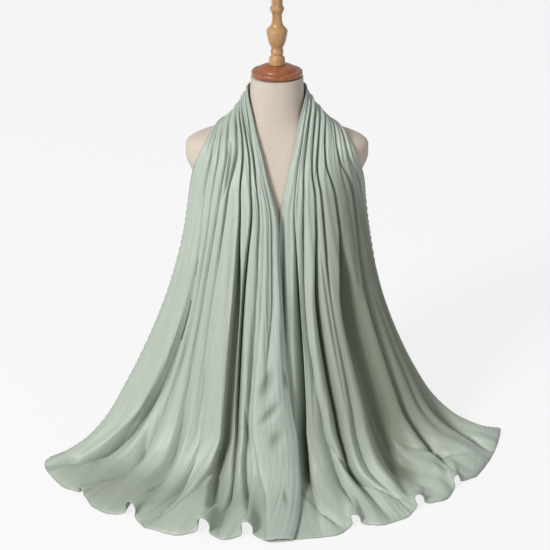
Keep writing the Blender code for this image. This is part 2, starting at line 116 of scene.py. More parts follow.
# Round arch: half its turn and, in shares of its height, its radius, the cloth in half its
# round part, where its foot meets the ground and how far its top leans
ARCH_HALF_TURN = 2.05
ARCH_RADIUS = 0.47
ARCH_CLOTH = 0.60
ARCH_FOOT = 1.30
ARCH_LEAN = 0.30

# Rounded outer corners at the hem
LEFT_CORNER_ROUND = 0.045
RIGHT_CORNER_ROUND = 0.004
CORNER_RUN = 0.14

# Painted shade: depth of the folds below which the colour starts to darken, and until it is
# darkest
SHADE_FROM = 0.006
SHADE_DEPTH = 0.032
# Fade of the bands of painted shade at their ends
SHADE_BAND_FADE_POWER = 0.4

# Grids: steps between two fold lines and how they crowd to the lines, rows along an end,
# steps across the turned-back edge and round its fold, and rows behind the neck
STEPS_PER_PLEAT = 25
COLUMN_CROWDING = 0.55
PANEL_ROWS = 200
TURNBACK_STEPS = 34
TURN_STEPS = 5
BACK_ROWS = 110

# Behind the neck the left end's form turns into the right end's over these shares
BACK_BLEND_FROM = 0.4
BACK_BLEND_RUN = 0.2

# Rolled hems: tube, spacing of its points, least height in radii, and uneven rolling
HEM_RADIUS = 0.0010
HEM_SPACING = 0.0013
HEM_LEAST_HEIGHT = 1.2
HEM_UNEVEN = 0.16
HEM_UNEVEN_STEP = 1.9

# Dress form
FORM_SQUARENESS = 2.2
FORM_SIDES = 120
FORM_RINGS = 170
Section = namedtuple("Section", "height half_width front back")
FORM_SECTIONS = [
    Section(0.000, 0.150, 0.105, 0.110),
    Section(0.080, 0.163, 0.112, 0.125),
    Section(0.170, 0.168, 0.112, 0.130),
    Section(0.260, 0.150, 0.102, 0.108),
    Section(0.340, 0.122, 0.088, 0.085),
    Section(0.420, 0.131, 0.098, 0.088),
    Section(0.490, 0.146, 0.122, 0.095),
    Section(0.540, 0.156, 0.119, 0.100),
    Section(0.580, 0.171, 0.104, 0.102),
    Section(0.612, 0.183, 0.088, 0.100),
    Section(0.632, 0.183, 0.077, 0.094),
    Section(0.648, 0.164, 0.069, 0.085),
    Section(0.661, 0.125, 0.063, 0.075),
    Section(0.675, 0.090, 0.059, 0.066),
    Section(0.690, 0.067, 0.056, 0.060),
    Section(0.710, 0.057, 0.054, 0.056),
    Section(0.740, 0.0535, 0.053, 0.053),
    Section(0.770, 0.0515, 0.0515, 0.0515),
]
FORM_HEIGHT = FORM_SECTIONS[-1].height
NECK_SEAM_HEIGHT = 0.6705
NECK_SEAM_SLOPE = 0.10
NECK_SEAM_REACH = 0.0045
CENTRE_SEAM_REACH = 0.0035
SEAM_DEPTH = 0.0007
SHARP_ANGLE = 50

# Turned profiles, from the top down: radius and height above the piece's own foot
Turning = namedtuple("Turning", "radius height")
CAP_PROFILE = [Turning(*row) for row in (
    (0.0000, 0.0240), (0.0140, 0.0236), (0.0240, 0.0222), (0.0320, 0.0196), (0.0372, 0.0163),
    (0.0385, 0.0145), (0.0392, 0.0134), (0.0440, 0.0131), (0.0484, 0.0119), (0.0503, 0.0094),
    (0.0503, 0.0060), (0.0484, 0.0025), (0.0440, 0.0000), (0.0000, 0.0000),
)]
FINIAL_PROFILE = [Turning(*row) for row in (
    (0.0000, 0.1600), (0.0050, 0.1580), (0.0095, 0.1530), (0.0117, 0.1460), (0.0121, 0.1380),
    (0.0115, 0.1300), (0.0107, 0.1200), (0.0113, 0.1145), (0.0134, 0.1120), (0.0138, 0.1094),
    (0.0124, 0.1050), (0.0104, 0.1008), (0.0096, 0.0960), (0.0096, 0.0900), (0.0106, 0.0825),
    (0.0132, 0.0758), (0.0182, 0.0702), (0.0205, 0.0672), (0.0204, 0.0630), (0.0192, 0.0565),
    (0.0162, 0.0430), (0.0112, 0.0310), (0.0125, 0.0262), (0.0122, 0.0210), (0.0113, 0.0185),
    (0.0150, 0.0130), (0.0158, 0.0080), (0.0157, 0.0000), (0.0000, 0.0000),
)]
PROFILE_REFINE = 6
CAP_SIDES = 96
FINIAL_SIDES = 72

Station = namedtuple("Station", "along edge_turn mid_turn outer_turn edge_radius mid_radius "
                                "outer_radius edge_height mid_height outer_height")
LEFT_STATIONS = [
    Station(0.00, 180, 180, 180, 0.061, 0.076, 0.108, 0.750, 0.702, 0.645),
    Station(0.10, 95, 98, 103, 0.058, 0.082, 0.117, 0.748, 0.706, 0.669),
    Station(0.16, 56, 72, 78, 0.063, 0.098, 0.138, 0.716, 0.687, 0.658),
    Station(0.24, 24.3, 50, 71, 0.083, 0.120, 0.164, 0.643, 0.640, 0.622),
    Station(0.31, 8.9, 42, 76, 0.112, 0.140, 0.174, 0.580, 0.585, 0.582),
    Station(0.38, 0.6, 39, 81, 0.129, 0.154, 0.181, 0.527, 0.523, 0.522),
    Station(0.45, -1.1, 38, 80, 0.142, 0.169, 0.193, 0.458, 0.455, 0.455),
    Station(0.60, -4.3, 36, 77, 0.179, 0.212, 0.242, 0.302, 0.300, 0.300),
    Station(0.75, -7.4, 33, 74, 0.224, 0.265, 0.323, 0.145, 0.145, 0.145),
    Station(0.83, -9.5, 32, 72.6, 0.246, 0.292, 0.370, 0.080, 0.080, 0.080),
    Station(0.90, -9.3, 31.5, 72, 0.277, 0.331, 0.420, 0.028, 0.030, 0.030),
    Station(0.94, -8.5, 31.5, 71.5, 0.311, 0.364, 0.450, 0.012, 0.015, 0.015),
    Station(1.00, -6.0, 32.3, 71.0, 0.395, 0.422, 0.478, 0.0065, 0.007, 0.007),
    Station(1.06, -3.5, 33, 70.5, 0.4734, 0.495, 0.521, 0.0055, 0.001, 0.001),
]
RIGHT_STATIONS = [
    Station(0.00, 180, 180, 180, 0.061, 0.076, 0.108, 0.750, 0.702, 0.645),
    Station(0.10, 95, 97, 100, 0.058, 0.083, 0.120, 0.748, 0.706, 0.667),
    Station(0.16, 52, 70, 77, 0.0635, 0.100, 0.146, 0.716, 0.690, 0.654),
    Station(0.24, 20, 48, 71, 0.087, 0.124, 0.166, 0.632, 0.635, 0.622),
    Station(0.31, 8.2, 42, 79, 0.113, 0.140, 0.175, 0.572, 0.582, 0.580),
    Station(0.38, 2.4, 43, 87, 0.124, 0.150, 0.180, 0.520, 0.523, 0.522),
    Station(0.45, 1.5, 43.5, 86.9, 0.133, 0.165, 0.189, 0.458, 0.455, 0.455),
    Station(0.60, 1, 43.5, 86.2, 0.163, 0.207, 0.222, 0.302, 0.300, 0.300),
    Station(0.75, 1, 43, 85, 0.198, 0.262, 0.290, 0.145, 0.145, 0.145),
    Station(0.83, 1, 42.5, 84.3, 0.216, 0.287, 0.335, 0.080, 0.080, 0.080),
    Station(0.90, 1, 42.5, 83.9, 0.250, 0.325, 0.390, 0.018, 0.030, 0.032),
    Station(0.94, 1, 42.5, 83.7, 0.290, 0.358, 0.420, 0.003, 0.015, 0.018),
    Station(1.00, 0.5, 41.8, 84.0, 0.379, 0.410, 0.450, 0.0015, 0.007, 0.009),
    Station(1.06, 0, 41, 84.5, 0.465, 0.464, 0.482, 0.001, 0.001, 0.004),
]

# Main folds: where each valley line runs across the cloth at the places of FOLD_PLACES,
# its depth there, the height of its small arch at the hem, and how far the outer bank
# (positive) or the inner bank (negative) leans over it, as a share of its reach; breadth
# and floor (1 for a rounded floor, 0 for a sharp one) count below the chest
FOLD_PLACES = (0.10, 0.20, 0.34, 0.56, 0.84, HEM_AT)
FOLD_REACH = (0.007, 0.0075, 0.0085, 0.016, 0.028, 0.028)
Fold = namedtuple("Fold", "name nape neck chest waist skirt hem nape_depth neck_depth "
                          "chest_depth waist_depth skirt_depth hem_depth arch lean breadth "
                          "floor")
FIRST_LINE = Fold._fields.index("nape")
FIRST_DEPTH = Fold._fields.index("nape_depth")
LEFT_FOLDS = [
    Fold("beside_turned_edge", 0.09, 0.10, 0.175, 0.21, 0.27, 0.150,
         0.008, 0.012, 0.012, 0.006, 0.014, 0.0, 0.027, 0.0, 0.55, 0.0),
    Fold("inner_of_pair", 0.20, 0.19, 0.255, 0.318, 0.325, 0.24,
         0.010, 0.016, 0.030, 0.038, 0.020, 0.0, 0.0, 0.3, 0.55, 0.0),
    Fold("deep_left", 0.315, 0.29, 0.385, 0.395, 0.405, 0.29,
         0.010, 0.018, 0.034, 0.032, 0.031, 0.0, 0.028, 0.7, 1.50, 0.9),
    Fold("short_upper_left", 0.43, 0.40, 0.52, 0.55, 0.52, 0.46,
         0.010, 0.018, 0.016, 0.004, 0.005, 0.0, 0.0, 0.3, 0.90, 0.0),
    Fold("soft_left", 0.56, 0.55, 0.61, 0.640, 0.61, 0.545,
         0.009, 0.012, 0.010, 0.010, 0.010, 0.0, 0.027, 0.0, 0.90, 0.0),
    Fold("low_left", 0.71, 0.68, 0.69, 0.695, 0.735, 0.750,
         0.005, 0.009, 0.008, 0.007, 0.011, 0.0, 0.015, 0.0, 0.90, 0.0),
    Fold("side_crease_left", 0.85, 0.80, 0.78, 0.745, 0.850, 0.96,
         0.003, 0.005, 0.005, 0.010, 0.026, 0.003, 0.0, 0.6, 0.90, 0.0),
]
RIGHT_FOLDS = [
    Fold("beside_centre", 0.09, 0.11, 0.15, 0.165, 0.150, 0.12,
         0.008, 0.007, 0.007, 0.034, 0.040, 0.0, 0.0, 0.6, 0.90, 0.5),
    Fold("inner_right", 0.20, 0.21, 0.255, 0.240, 0.285, 0.25,
         0.010, 0.014, 0.018, 0.008, 0.008, 0.0, 0.024, 0.0, 0.55, 0.0),
    Fold("centre_right", 0.315, 0.31, 0.385, 0.3125, 0.345, 0.36,
         0.010, 0.016, 0.032, 0.036, 0.028, 0.0, 0.0, 0.0, 0.62, 0.0),
    Fold("short_upper_right", 0.43, 0.39, 0.45, 0.41, 0.42, 0.43,
         0.010, 0.018, 0.028, 0.006, 0.005, 0.0, 0.0, 0.0, 0.65, 0.0),
    Fold("deep_right", 0.56, 0.50, 0.595, 0.55, 0.58, 0.475,
         0.009, 0.020, 0.036, 0.052, 0.050, 0.0, 0.028, -0.2, 3.00, 1.0),
    Fold("shaded_right", 0.71, 0.70, 0.80, 0.735, 0.75, 0.640,
         0.005, 0.012, 0.026, 0.020, 0.022, 0.0, 0.026, 0.0, 0.75, 0.0),
    Fold("corner_right", 0.85, 0.87, 0.91, 0.90, 0.92, 0.86,
         0.003, 0.006, 0.012, 0.018, 0.024, 0.0, 0.0, 0.0, 0.70, 0.0),
]

# Small creases: from where to where along and across the cloth, depth and half width;
# they are sharper above the chest
CREASE_SHARPNESS = 2.4
CREASE_CHEST_EXTRA = 1.6
CREASE_CHEST_TO = 0.36
CREASE_CHEST_RUN = 0.12
CREASE_FADE_POWER = 0.6
Crease = namedtuple("Crease", "start end across_start across_end depth reach")
LEFT_CREASES = [
    Crease(-0.30, 0.36, 0.12, 0.23, 0.005, 0.0035),
    Crease(-0.30, 0.33, 0.20, 0.33, 0.005, 0.0035),
    Crease(-0.30, 0.42, 0.32, 0.45, 0.005, 0.004),
    Crease(-0.30, 0.34, 0.42, 0.56, 0.005, 0.0035),
    Crease(-0.30, 0.26, 0.56, 0.62, 0.004, 0.004),
    Crease(0.20, 0.355, 0.49, 0.575, 0.020, 0.009),
    Crease(0.30, 0.62, 0.46, 0.455, 0.003, 0.006),
    Crease(0.60, 0.94, 0.58, 0.56, 0.003, 0.020),
    Crease(0.50, 0.80, 0.72, 0.70, 0.004, 0.014),
    Crease(0.66, 0.98, 0.82, 0.90, 0.008, 0.014),
    Crease(0.80, 1.03, 0.78, 0.66, 0.009, 0.015),
    Crease(0.82, 1.06, 0.405, 0.475, 0.018, 0.013),
    Crease(0.70, 0.98, 0.29, 0.22, 0.008, 0.011),
    Crease(0.44, 0.76, 0.89, 0.86, 0.005, 0.012),
    Crease(0.86, 1.03, 0.87, 0.80, 0.008, 0.014),
]
RIGHT_CREASES = [
    Crease(0.34, 1.02, 0.035, 0.02, 0.018, 0.010),
    Crease(-0.30, 0.40, 0.12, 0.20, 0.005, 0.0035),
    Crease(-0.30, 0.36, 0.20, 0.32, 0.005, 0.0035),
    Crease(-0.30, 0.44, 0.32, 0.42, 0.005, 0.004),
    Crease(-0.30, 0.32, 0.42, 0.54, 0.005, 0.0035),
    Crease(-0.30, 0.36, 0.56, 0.68, 0.005, 0.0045),
    Crease(0.22, 0.50, 0.72, 0.70, 0.007, 0.0065),
    Crease(0.34, 0.62, 0.86, 0.84, 0.006, 0.009),
    Crease(0.42, 0.86, 0.27, 0.245, 0.004, 0.008),
    Crease(0.40, 0.80, 0.375, 0.385, 0.005, 0.008),
    Crease(0.40, 0.66, 0.62, 0.61, 0.006, 0.009),
    Crease(0.44, 0.84, 0.66, 0.67, 0.006, 0.009),
    Crease(0.46, 0.92, 0.80, 0.83, 0.008, 0.010),
    Crease(0.84, 1.03, 0.64, 0.80, 0.010, 0.014),
    Crease(0.83, 1.02, 0.28, 0.45, 0.017, 0.013),
    Crease(0.86, 1.07, 0.02, 0.22, 0.020, 0.013),
    Crease(0.88, 1.05, 0.93, 0.86, 0.008, 0.013),
]

# Bands of painted shade, beside the folds and over broad stretches of the cloth: half width in
# shares across
Tint = namedtuple("Tint", "start end across_start across_end reach strength")
LEFT_SHADE_BANDS = [
    Tint(0.37, 1.10, 0.62, 0.62, 0.75, 0.30),
    Tint(0.84, 1.06, 0.28, 0.20, 0.20, 0.35),
    Tint(0.90, 1.12, 0.74, 0.70, 0.40, 0.50),
]
RIGHT_SHADE_BANDS = [
    Tint(0.22, 0.98, 0.80, 0.76, 0.54, 1.25),
    Tint(0.42, 0.98, 0.38, 0.38, 0.26, 0.40),
    Tint(0.68, 1.02, 0.21, 0.19, 0.13, 0.45),
]

# Turned-back edge: how far its free edge reaches over the left end, and its valley
Turnback = namedtuple("Turnback", "along reach valley valley_depth")
TURNBACKS = [
    Turnback(PANEL_FROM, 0.010, 0.50, 0.000),
    Turnback(0.17, 0.030, 0.50, 0.000),
    Turnback(0.22, 0.075, 0.30, 0.001),
    Turnback(0.34, 0.138, 0.42, 0.004),
    Turnback(0.47, 0.155, 0.48, 0.006),
    Turnback(0.57, 0.175, 0.54, 0.007),
    Turnback(0.66, 0.205, 0.68, 0.005),
    Turnback(0.79, 0.238, 0.60, 0.001),
    Turnback(0.88, 0.205, 0.50, 0.001),
    Turnback(0.97, 0.138, 0.50, 0.001),
    Turnback(HEM_AT, 0.085, 0.50, 0.000),
]
EDGE_LIFT = 0.0023
LEAST_LIFT_SHARE = 0.6
LEAST_RISE_SHARE = 0.4
TURNBACK_SPLAY = 0.0030
TURNBACK_FULL_REACH = 0.12
INNER_RIDGE_REACH = 0.3
OUTER_RIDGE_AT = 0.9
OUTER_RIDGE_REACH = 0.28

# Beneath the turned-back edge the left end is kept smooth, up to these shares of its reach
COVERED_TO = 0.7
COVERED_RUN = 0.4

# Long groove in the turned-back edge
GROOVE_FROM = 0.25
GROOVE_TO = 0.72
GROOVE_DEPTH = 0.0075
GROOVE_REACH = 0.0060
GROOVE_SHARPNESS = 3.0
GROOVE_FADE_POWER = 0.4

# Soft dents pressed into the turned-back edge
Dent = namedtuple("Dent", "along share length breadth slant depth")
TURNBACK_DENTS = [
    Dent(0.695, 0.66, 0.032, 0.32, -0.06, 0.0060),
    Dent(0.752, 0.58, 0.020, 0.36, -0.07, 0.0060),
    Dent(0.815, 0.50, 0.032, 0.24, -0.05, 0.0055),
    Dent(0.690, 0.08, 0.020, 0.16, 0.06, 0.0060),
    Dent(0.960, 0.42, 0.030, 0.14, 0.05, 0.0040),
]
# Painted shade in the dents and the long groove: dent depth for full shade, and the most shade
DENT_SHADE_DEPTH = 0.008
DENT_SHADE_MOST = 0.8

# Seeded waves across and along the cloth, in waves per width and per metre: gathers,
# crinkle, and the turned-back edge's crinkle, with their heights at places along
CRINKLE_SEED = 7
TURNBACK_SEED = 27
WAVE_COUNT = 26
GATHER_WAVES = ((7, 20), (0.2, 1.6))
GATHER_PLACES = (0.0, 0.12, 0.30, 0.42, 0.60, 0.86, 0.95)
GATHER_HEIGHTS = (0.0010, 0.0010, 0.0006, 0.0004, 0.0007, 0.0012, 0.0012)
CRINKLE_WAVES = ((40, 90), (1.0, 5.0))
CRINKLE_PLACES = (0.1, 0.4, 0.9, 1.06)
CRINKLE_HEIGHTS = (0.00012, 0.00025, 0.0003, 0.0003)
TURNBACK_WAVES = ((20, 60), (1.0, 5.0))
TURNBACK_CRINKLE = 0.0003

# Ripple of the outer selvage, whose length drifts
RIPPLE_HEIGHT = 0.0011
RIPPLE_LENGTH = 0.0135
RIPPLE_REACH = 0.014
RIPPLE_DRIFT = 1.4
RIPPLE_DRIFT_LENGTH = 0.09
RIPPLE_FROM = 0.28
RIPPLE_RUN = 0.1


def smooth_curve(places, values):
    """Monotone cubic through a table: returns a function of arrays of places."""
    places = np.asarray(places, float)
    values = np.asarray(values, float)
    steps = np.diff(places)[:, None]
    slopes = np.diff(values, axis=0) / steps
    before, after = slopes[:-1], slopes[1:]
    weight = steps[1:] / (steps[1:] + steps[:-1])
    mixed = weight * before + (1 - weight) * after
    limit = 3 * np.minimum(abs(before), abs(after))
    inner = np.where(before * after <= 0, 0, np.sign(before) * np.minimum(abs(mixed), limit))
    tangents = np.vstack([slopes[:1], inner, slopes[-1:]])

    def value_at(where):
        where = np.asarray(where, float)
        span = np.clip(np.searchsorted(places, where) - 1, 0, len(places) - 2)
        step = steps[span]
        share = np.clip((where - places[span]) / step[..., 0], 0, 1)[..., None]
        start = (1 + 2 * share) * (1 - share) ** 2 * values[span]
        start_tangent = share * (1 - share) ** 2 * step * tangents[span]
        end = share ** 2 * (3 - 2 * share) * values[span + 1]
        end_tangent = share ** 2 * (share - 1) * step * tangents[span + 1]
        return start + start_tangent + end + end_tangent

    return value_at


def bump(distance):
    """Soft bump: 1 at distance 0, 0 from distance 1 on."""
    return np.cos(np.pi / 2 * np.clip(distance, -1, 1)) ** 2


def valley_shape(distance, sharpness):
    """Valley with a sharp floor: 1 at distance 0, falling to 0 at distance 1."""
    return (1 - np.clip(abs(distance), 0, 1)) ** sharpness


def trough_shape(distance):
    """Valley with a rounded floor and steep banks."""
    return 1 - ease((TROUGH_SLOPE * abs(distance) - TROUGH_FLOOR) / (1 - TROUGH_FLOOR))


def ease(share):
    """0 below share 0, 1 above share 1, smooth between."""
    share = np.clip(share, 0, 1)
    return share * share * (3 - 2 * share)


def hem_arch(offset, height):
    """Round arch with a narrowed foot: places sideways and up of the cloth at an offset."""
    size = np.maximum(height, 1e-6)
    distance = abs(offset) / size
    angle = ARCH_HALF_TURN * np.clip(distance / ARCH_CLOTH, 0, 1)
    reach = ARCH_FOOT - ARCH_CLOTH
    share = np.clip((distance - ARCH_CLOTH) / reach, 0, 1)
    leave = (1 + 2 * share) * (1 - share) ** 2
    arrive = share ** 2 * (3 - 2 * share)
    swing = share * (1 - share) ** 2 * reach
    sideways = (ARCH_RADIUS * np.sin(angle) * leave
                + swing * np.cos(ARCH_HALF_TURN) * (share > 0)
                + ARCH_FOOT * arrive + share ** 2 * (share - 1) * reach)
    sideways = np.where(distance > ARCH_FOOT, distance, sideways)
    up = (1 - ARCH_RADIUS + ARCH_RADIUS * np.cos(angle)) * leave
    up = up - swing * np.sin(ARCH_HALF_TURN)
    return np.sign(offset) * sideways * size, np.maximum(up, 0) * size


def across_three(first, middle, last, share):
    """Parabola through the values at an edge, the middle and the other edge."""
    return (first * (1 - share) * (1 - 2 * share) + middle * 4 * share * (1 - share)
            + last * share * (2 * share - 1))


FORM_CURVE = smooth_curve([section.height for section in FORM_SECTIONS],
                          [section[1:] for section in FORM_SECTIONS])
FOLD_REACH_CURVE = smooth_curve(FOLD_PLACES, [[value] for value in FOLD_REACH])


def form_ratio(points):
    """1 on the dress form's side surface, more outside it, less inside."""
    sizes = FORM_CURVE(np.clip(points[..., 2], 0, FORM_HEIGHT))
    depth = np.where(points[..., 1] < 0, sizes[..., 1], sizes[..., 2])
    wide = abs(points[..., 0] / sizes[..., 0]) ** FORM_SQUARENESS
    deep = abs(points[..., 1] / depth) ** FORM_SQUARENESS
    return (wide + deep) ** (1 / FORM_SQUARENESS)


def clear_of_form(points, clearance):
    """Move points that are too near the dress form out along its normal."""
    probe = 0.0005
    for _ in range(CLEARING_PASSES):
        ratio = form_ratio(points)
        gradient = np.stack([(form_ratio(points + probe * axis) - ratio) / probe
                             for axis in np.eye(3)], axis=-1)
        steepness = np.linalg.norm(gradient, axis=-1)
        distance = (ratio - 1) / steepness
        push = np.clip(clearance - distance, 0, MOST_PUSH)
        points = points + gradient * (push / steepness)[..., None]
    return points


def waves(across, along, seed, across_range, along_range):
    """Irregular waves of about unit height: a seeded sum of sines, long along the cloth."""
    rng = np.random.default_rng(seed)
    total = np.zeros(np.broadcast(across, along).shape)
    for _ in range(WAVE_COUNT):
        by_across = rng.uniform(*across_range)
        by_along = rng.uniform(*along_range) * rng.choice([-1, 1])
        phase = rng.uniform(0, 2 * np.pi)
        total += np.sin(2 * np.pi * (by_across * across + by_along * along) + phase)
    return total / np.sqrt(WAVE_COUNT / 2)


def drape_point(curve, side, across, along):
    """Point of a scarf end's smooth form, before its folds.

    The curve gives the Station columns after the first: three turns, radii and heights.
    """
    row = curve(abs(along))
    turn = np.radians(across_three(row[..., 0], row[..., 1], row[..., 2], across)) * side
    radius = across_three(row[..., 3], row[..., 4], row[..., 5], across)
    height = across_three(row[..., 6], row[..., 7], row[..., 8], across)
    return np.stack([radius * np.sin(turn), -radius * np.cos(turn), height], axis=-1)


def fold_values(folds, first, along):
    """The folds' values at FOLD_PLACES, from column first on, at places along the cloth."""
    table = [[fold[first + place] for fold in folds] for place in range(len(FOLD_PLACES))]
    return smooth_curve(FOLD_PLACES, table)(along)


class ScarfEnd:
    """One end of the scarf: its smooth form, folds, creases and crinkle."""

    def __init__(self, stations, folds, creases, shade_bands, side, corner_round):
        self.curve = smooth_curve([station.along for station in stations],
                                  [station[1:] for station in stations])
        self.folds = folds
        self.leans = np.array([fold.lean for fold in folds])
        self.breadths = np.array([fold.breadth for fold in folds])
        self.floors = np.array([fold.floor for fold in folds])
        self.arches = np.array([fold.arch for fold in folds])
        self.creases = creases
        self.shade_bands = shade_bands
        self.side = side
        self.corner_round = corner_round

    def width(self, along):
        """Metres per unit across, measured over the smooth form in four steps."""
        edges = [drape_point(self.curve, self.side, np.full_like(along, share), along)
                 for share in (0.0, 0.25, 0.5, 0.75, 1.0)]
        return sum(np.linalg.norm(after - before, axis=-1)
                   for before, after in zip(edges, edges[1:]))

    def fold_relief(self, along, depths, reach, offset):
        """Valleys of the main folds, and the small arches that they end in at the hem."""
        below_chest = ease((along - BELOW_CHEST_FROM) / BELOW_CHEST_RUN)[..., None]
        breadths = CHEST_BREADTH + (self.breadths - CHEST_BREADTH) * below_chest
        breadths = FOLD_BREADTH * reach * breadths
        breadths = breadths * (1 - BANK_UNEVEN * self.leans * np.sign(offset) * below_chest)
        floors = self.floors * below_chest
        sharpness = CHEST_SHARPNESS + (SKIRT_SHARPNESS - CHEST_SHARPNESS) * below_chest
        valleys = (1 - floors) * valley_shape(offset / breadths, sharpness)
        valleys = valleys + floors * trough_shape(offset / breadths)
        near_hem = ease((along - (HEM_AT - ARCH_RUN)) / ARCH_RUN)[..., None]
        _, risen = hem_arch(offset, self.arches)
        risen = near_hem * risen + (1 - near_hem) * self.arches * bump(offset / ARCH_REACH)
        return (risen * near_hem).sum(axis=-1) - (depths * valleys).sum(axis=-1)

    def crown(self, across, along, width, lines):
        """Height of the rounded crests between the fold lines."""
        ones = np.ones(lines.shape[:-1] + (1,))
        edges = np.concatenate([0 * ones, lines, ones], axis=-1)
        after = edges - across[..., None]
        far = 9
        to_next = np.where(after >= 0, after, far).min(axis=-1)
        from_last = np.where(after <= 0, -after, far).min(axis=-1)
        pleat = to_next + from_last + 1e-6
        fade = np.clip((HEM_AT - along) / CROWN_HEM_RUN, 0, 1) ** CROWN_HEM_POWER
        skirt = ease((along - CROWN_SKIRT_FROM) / CROWN_SKIRT_RUN)
        fade = fade * (1 + CROWN_SKIRT_EXTRA * skirt)
        below_chest = ease((along - BELOW_CHEST_FROM) / CROWN_CHEST_RUN)
        fade = fade * (CROWN_CHEST_SHARE + (1 - CROWN_CHEST_SHARE) * below_chest)
        past_first = ease((across - lines[..., 0]) * width / CROWN_EDGE_RUN)
        fade = fade * (CROWN_EDGE_SHARE + (1 - CROWN_EDGE_SHARE) * past_first)
        return CROWN_SHARE * pleat * width * np.sin(np.pi * from_last / pleat) * fade

    def small_relief(self, across, along, width):
        """Small creases, gathers, crinkle and the selvage's ripple."""
        small = np.zeros_like(across)
        chest = 1 - ease((along - CREASE_CHEST_TO) / CREASE_CHEST_RUN)
        sharpness = CREASE_SHARPNESS + CREASE_CHEST_EXTRA * chest
        for crease in self.creases:
            share = (along - crease.start) / (crease.end - crease.start)
            line = crease.across_start + (crease.across_end - crease.across_start) * share
            fade = bump(2 * np.clip(share, 0, 1) - 1) ** CREASE_FADE_POWER
            distance = (across - line) * width / crease.reach
            small -= crease.depth * valley_shape(distance, sharpness) * fade
        gathers = waves(across, along, CRINKLE_SEED, *GATHER_WAVES)
        crinkle = waves(across, along, CRINKLE_SEED + 1, *CRINKLE_WAVES)
        small += (gathers * np.interp(along, GATHER_PLACES, GATHER_HEIGHTS)
                  + crinkle * np.interp(along, CRINKLE_PLACES, CRINKLE_HEIGHTS))
        drift = RIPPLE_DRIFT * np.sin(2 * np.pi * along / RIPPLE_DRIFT_LENGTH)
        ripple = np.sin(2 * np.pi * along / RIPPLE_LENGTH + drift)
        ripple = ripple * ease((along - RIPPLE_FROM) / RIPPLE_RUN)
        small += RIPPLE_HEIGHT * ripple * bump((1 - across) * width / RIPPLE_REACH)
        return small

    def with_corner(self, across, along, width):
        """Places along the cloth, drawn back where the outer corner is rounded."""
        from_selvage = (1 - across) * width
        bend = np.clip(1 - from_selvage / self.corner_round, 0, 1)
        shortfall = self.corner_round * (1 - np.sqrt(1 - bend ** 2))
        return along - shortfall * ease((along - (HEM_AT - CORNER_RUN)) / CORNER_RUN)

    def shifted_across(self, across, along, width, depths, reach, offset):
        """Places across, moved where a bank leans over its valley and at the round arches."""
        strength = np.clip(depths / LEAN_FULL_DEPTH, 0, 1) * abs(self.leans) * reach
        strength = strength * (1 - ease((along - LEAN_ENDS_FROM) / LEAN_ENDS_RUN))[..., None]
        on_bank = np.clip(offset * np.sign(self.leans) / reach, 0, 1 + LEAN_FALL)
        rising = np.sin(np.pi / 2 * np.clip(on_bank, 0, 1)) ** 2
        shove = strength * np.where(on_bank < 1, rising, bump((on_bank - 1) / LEAN_FALL))
        sideways, risen = hem_arch(offset, self.arches)
        rounding = ease((along - (HEM_AT - ARCH_ROUND_RUN)) / ARCH_ROUND_RUN)[..., None]
        moved = (sideways - offset - self.side * ARCH_LEAN * risen) * rounding
        return across + (moved - shove * np.sign(self.leans)).sum(axis=-1) / width

    def pulled_along(self, along, offset):
        """Places along, drawn back from the hem at its small arches."""
        arched = np.clip(self.arches / ARCH_FULL_HEIGHT, 0, 1)
        near_hem = np.clip((along - (HEM_AT - ARCH_RUN)) / ARCH_RUN, 0, 1)
        pull = (arched * ARCH_PULL * bump(offset / ARCH_SPREAD)).sum(axis=-1)
        return along - pull * near_hem ** 2

    def surface(self, across, along, fine):
        """Points of the cloth, clear of form and ground, and how far its relief lifts them.

        Fine is the share of the small relief that is kept.
        """
        along = abs(along)
        width = self.width(along)
        along = self.with_corner(across, along, width)
        lines = fold_values(self.folds, FIRST_LINE, along)
        depths = fold_values(self.folds, FIRST_DEPTH, along)
        reach = FOLD_REACH_CURVE(along)
        offset = (across[..., None] - lines) * width[..., None]
        shifted = self.shifted_across(across, along, width, depths, reach, offset)
        pulled = self.pulled_along(along, offset)
        probe = 0.002
        base = drape_point(self.curve, self.side, shifted, pulled)
        by_across = drape_point(self.curve, self.side, shifted + probe, pulled) - base
        step = np.where(along > HEM_AT / 2, -probe, probe)
        by_along = drape_point(self.curve, self.side, shifted, pulled + step) - base
        by_along = by_along * np.sign(step)[..., None]
        normal = np.cross(by_along, by_across) * self.side
        normal = normal / np.linalg.norm(normal, axis=-1, keepdims=True)
        relief = self.fold_relief(along, depths, reach, offset)
        relief += self.crown(across, along, width, lines)
        relief += self.small_relief(across, along, width) * fine
        points = clear_of_form(base + normal * relief[..., None], FORM_CLEARANCE)
        points[..., 2] = np.maximum(points[..., 2], GROUND_CLEARANCE + CLOTH_WALL / 2)
        return points, relief

    def smooth_points(self, across, along):
        """Points of the cloth without its small relief."""
        return self.surface(across, along, 0.0)[0]

    def grid_places(self, along):
        """Places across for the grid's columns, drawn together at the fold lines."""
        lines = fold_values(self.folds, FIRST_LINE, along)
        ones = np.ones((len(along), 1))
        edges = np.concatenate([0 * ones, lines, ones], axis=1)
        shares = np.arange(STEPS_PER_PLEAT) / STEPS_PER_PLEAT
        shares = shares - COLUMN_CROWDING * np.sin(2 * np.pi * shares) / (2 * np.pi)
        columns = []
        for pleat in range(edges.shape[1] - 1):
            start, end = edges[:, pleat, None], edges[:, pleat + 1, None]
            columns.append(start + (end - start) * shares)
        columns.append(edges[:, -1:])
        return np.concatenate(columns, axis=1)

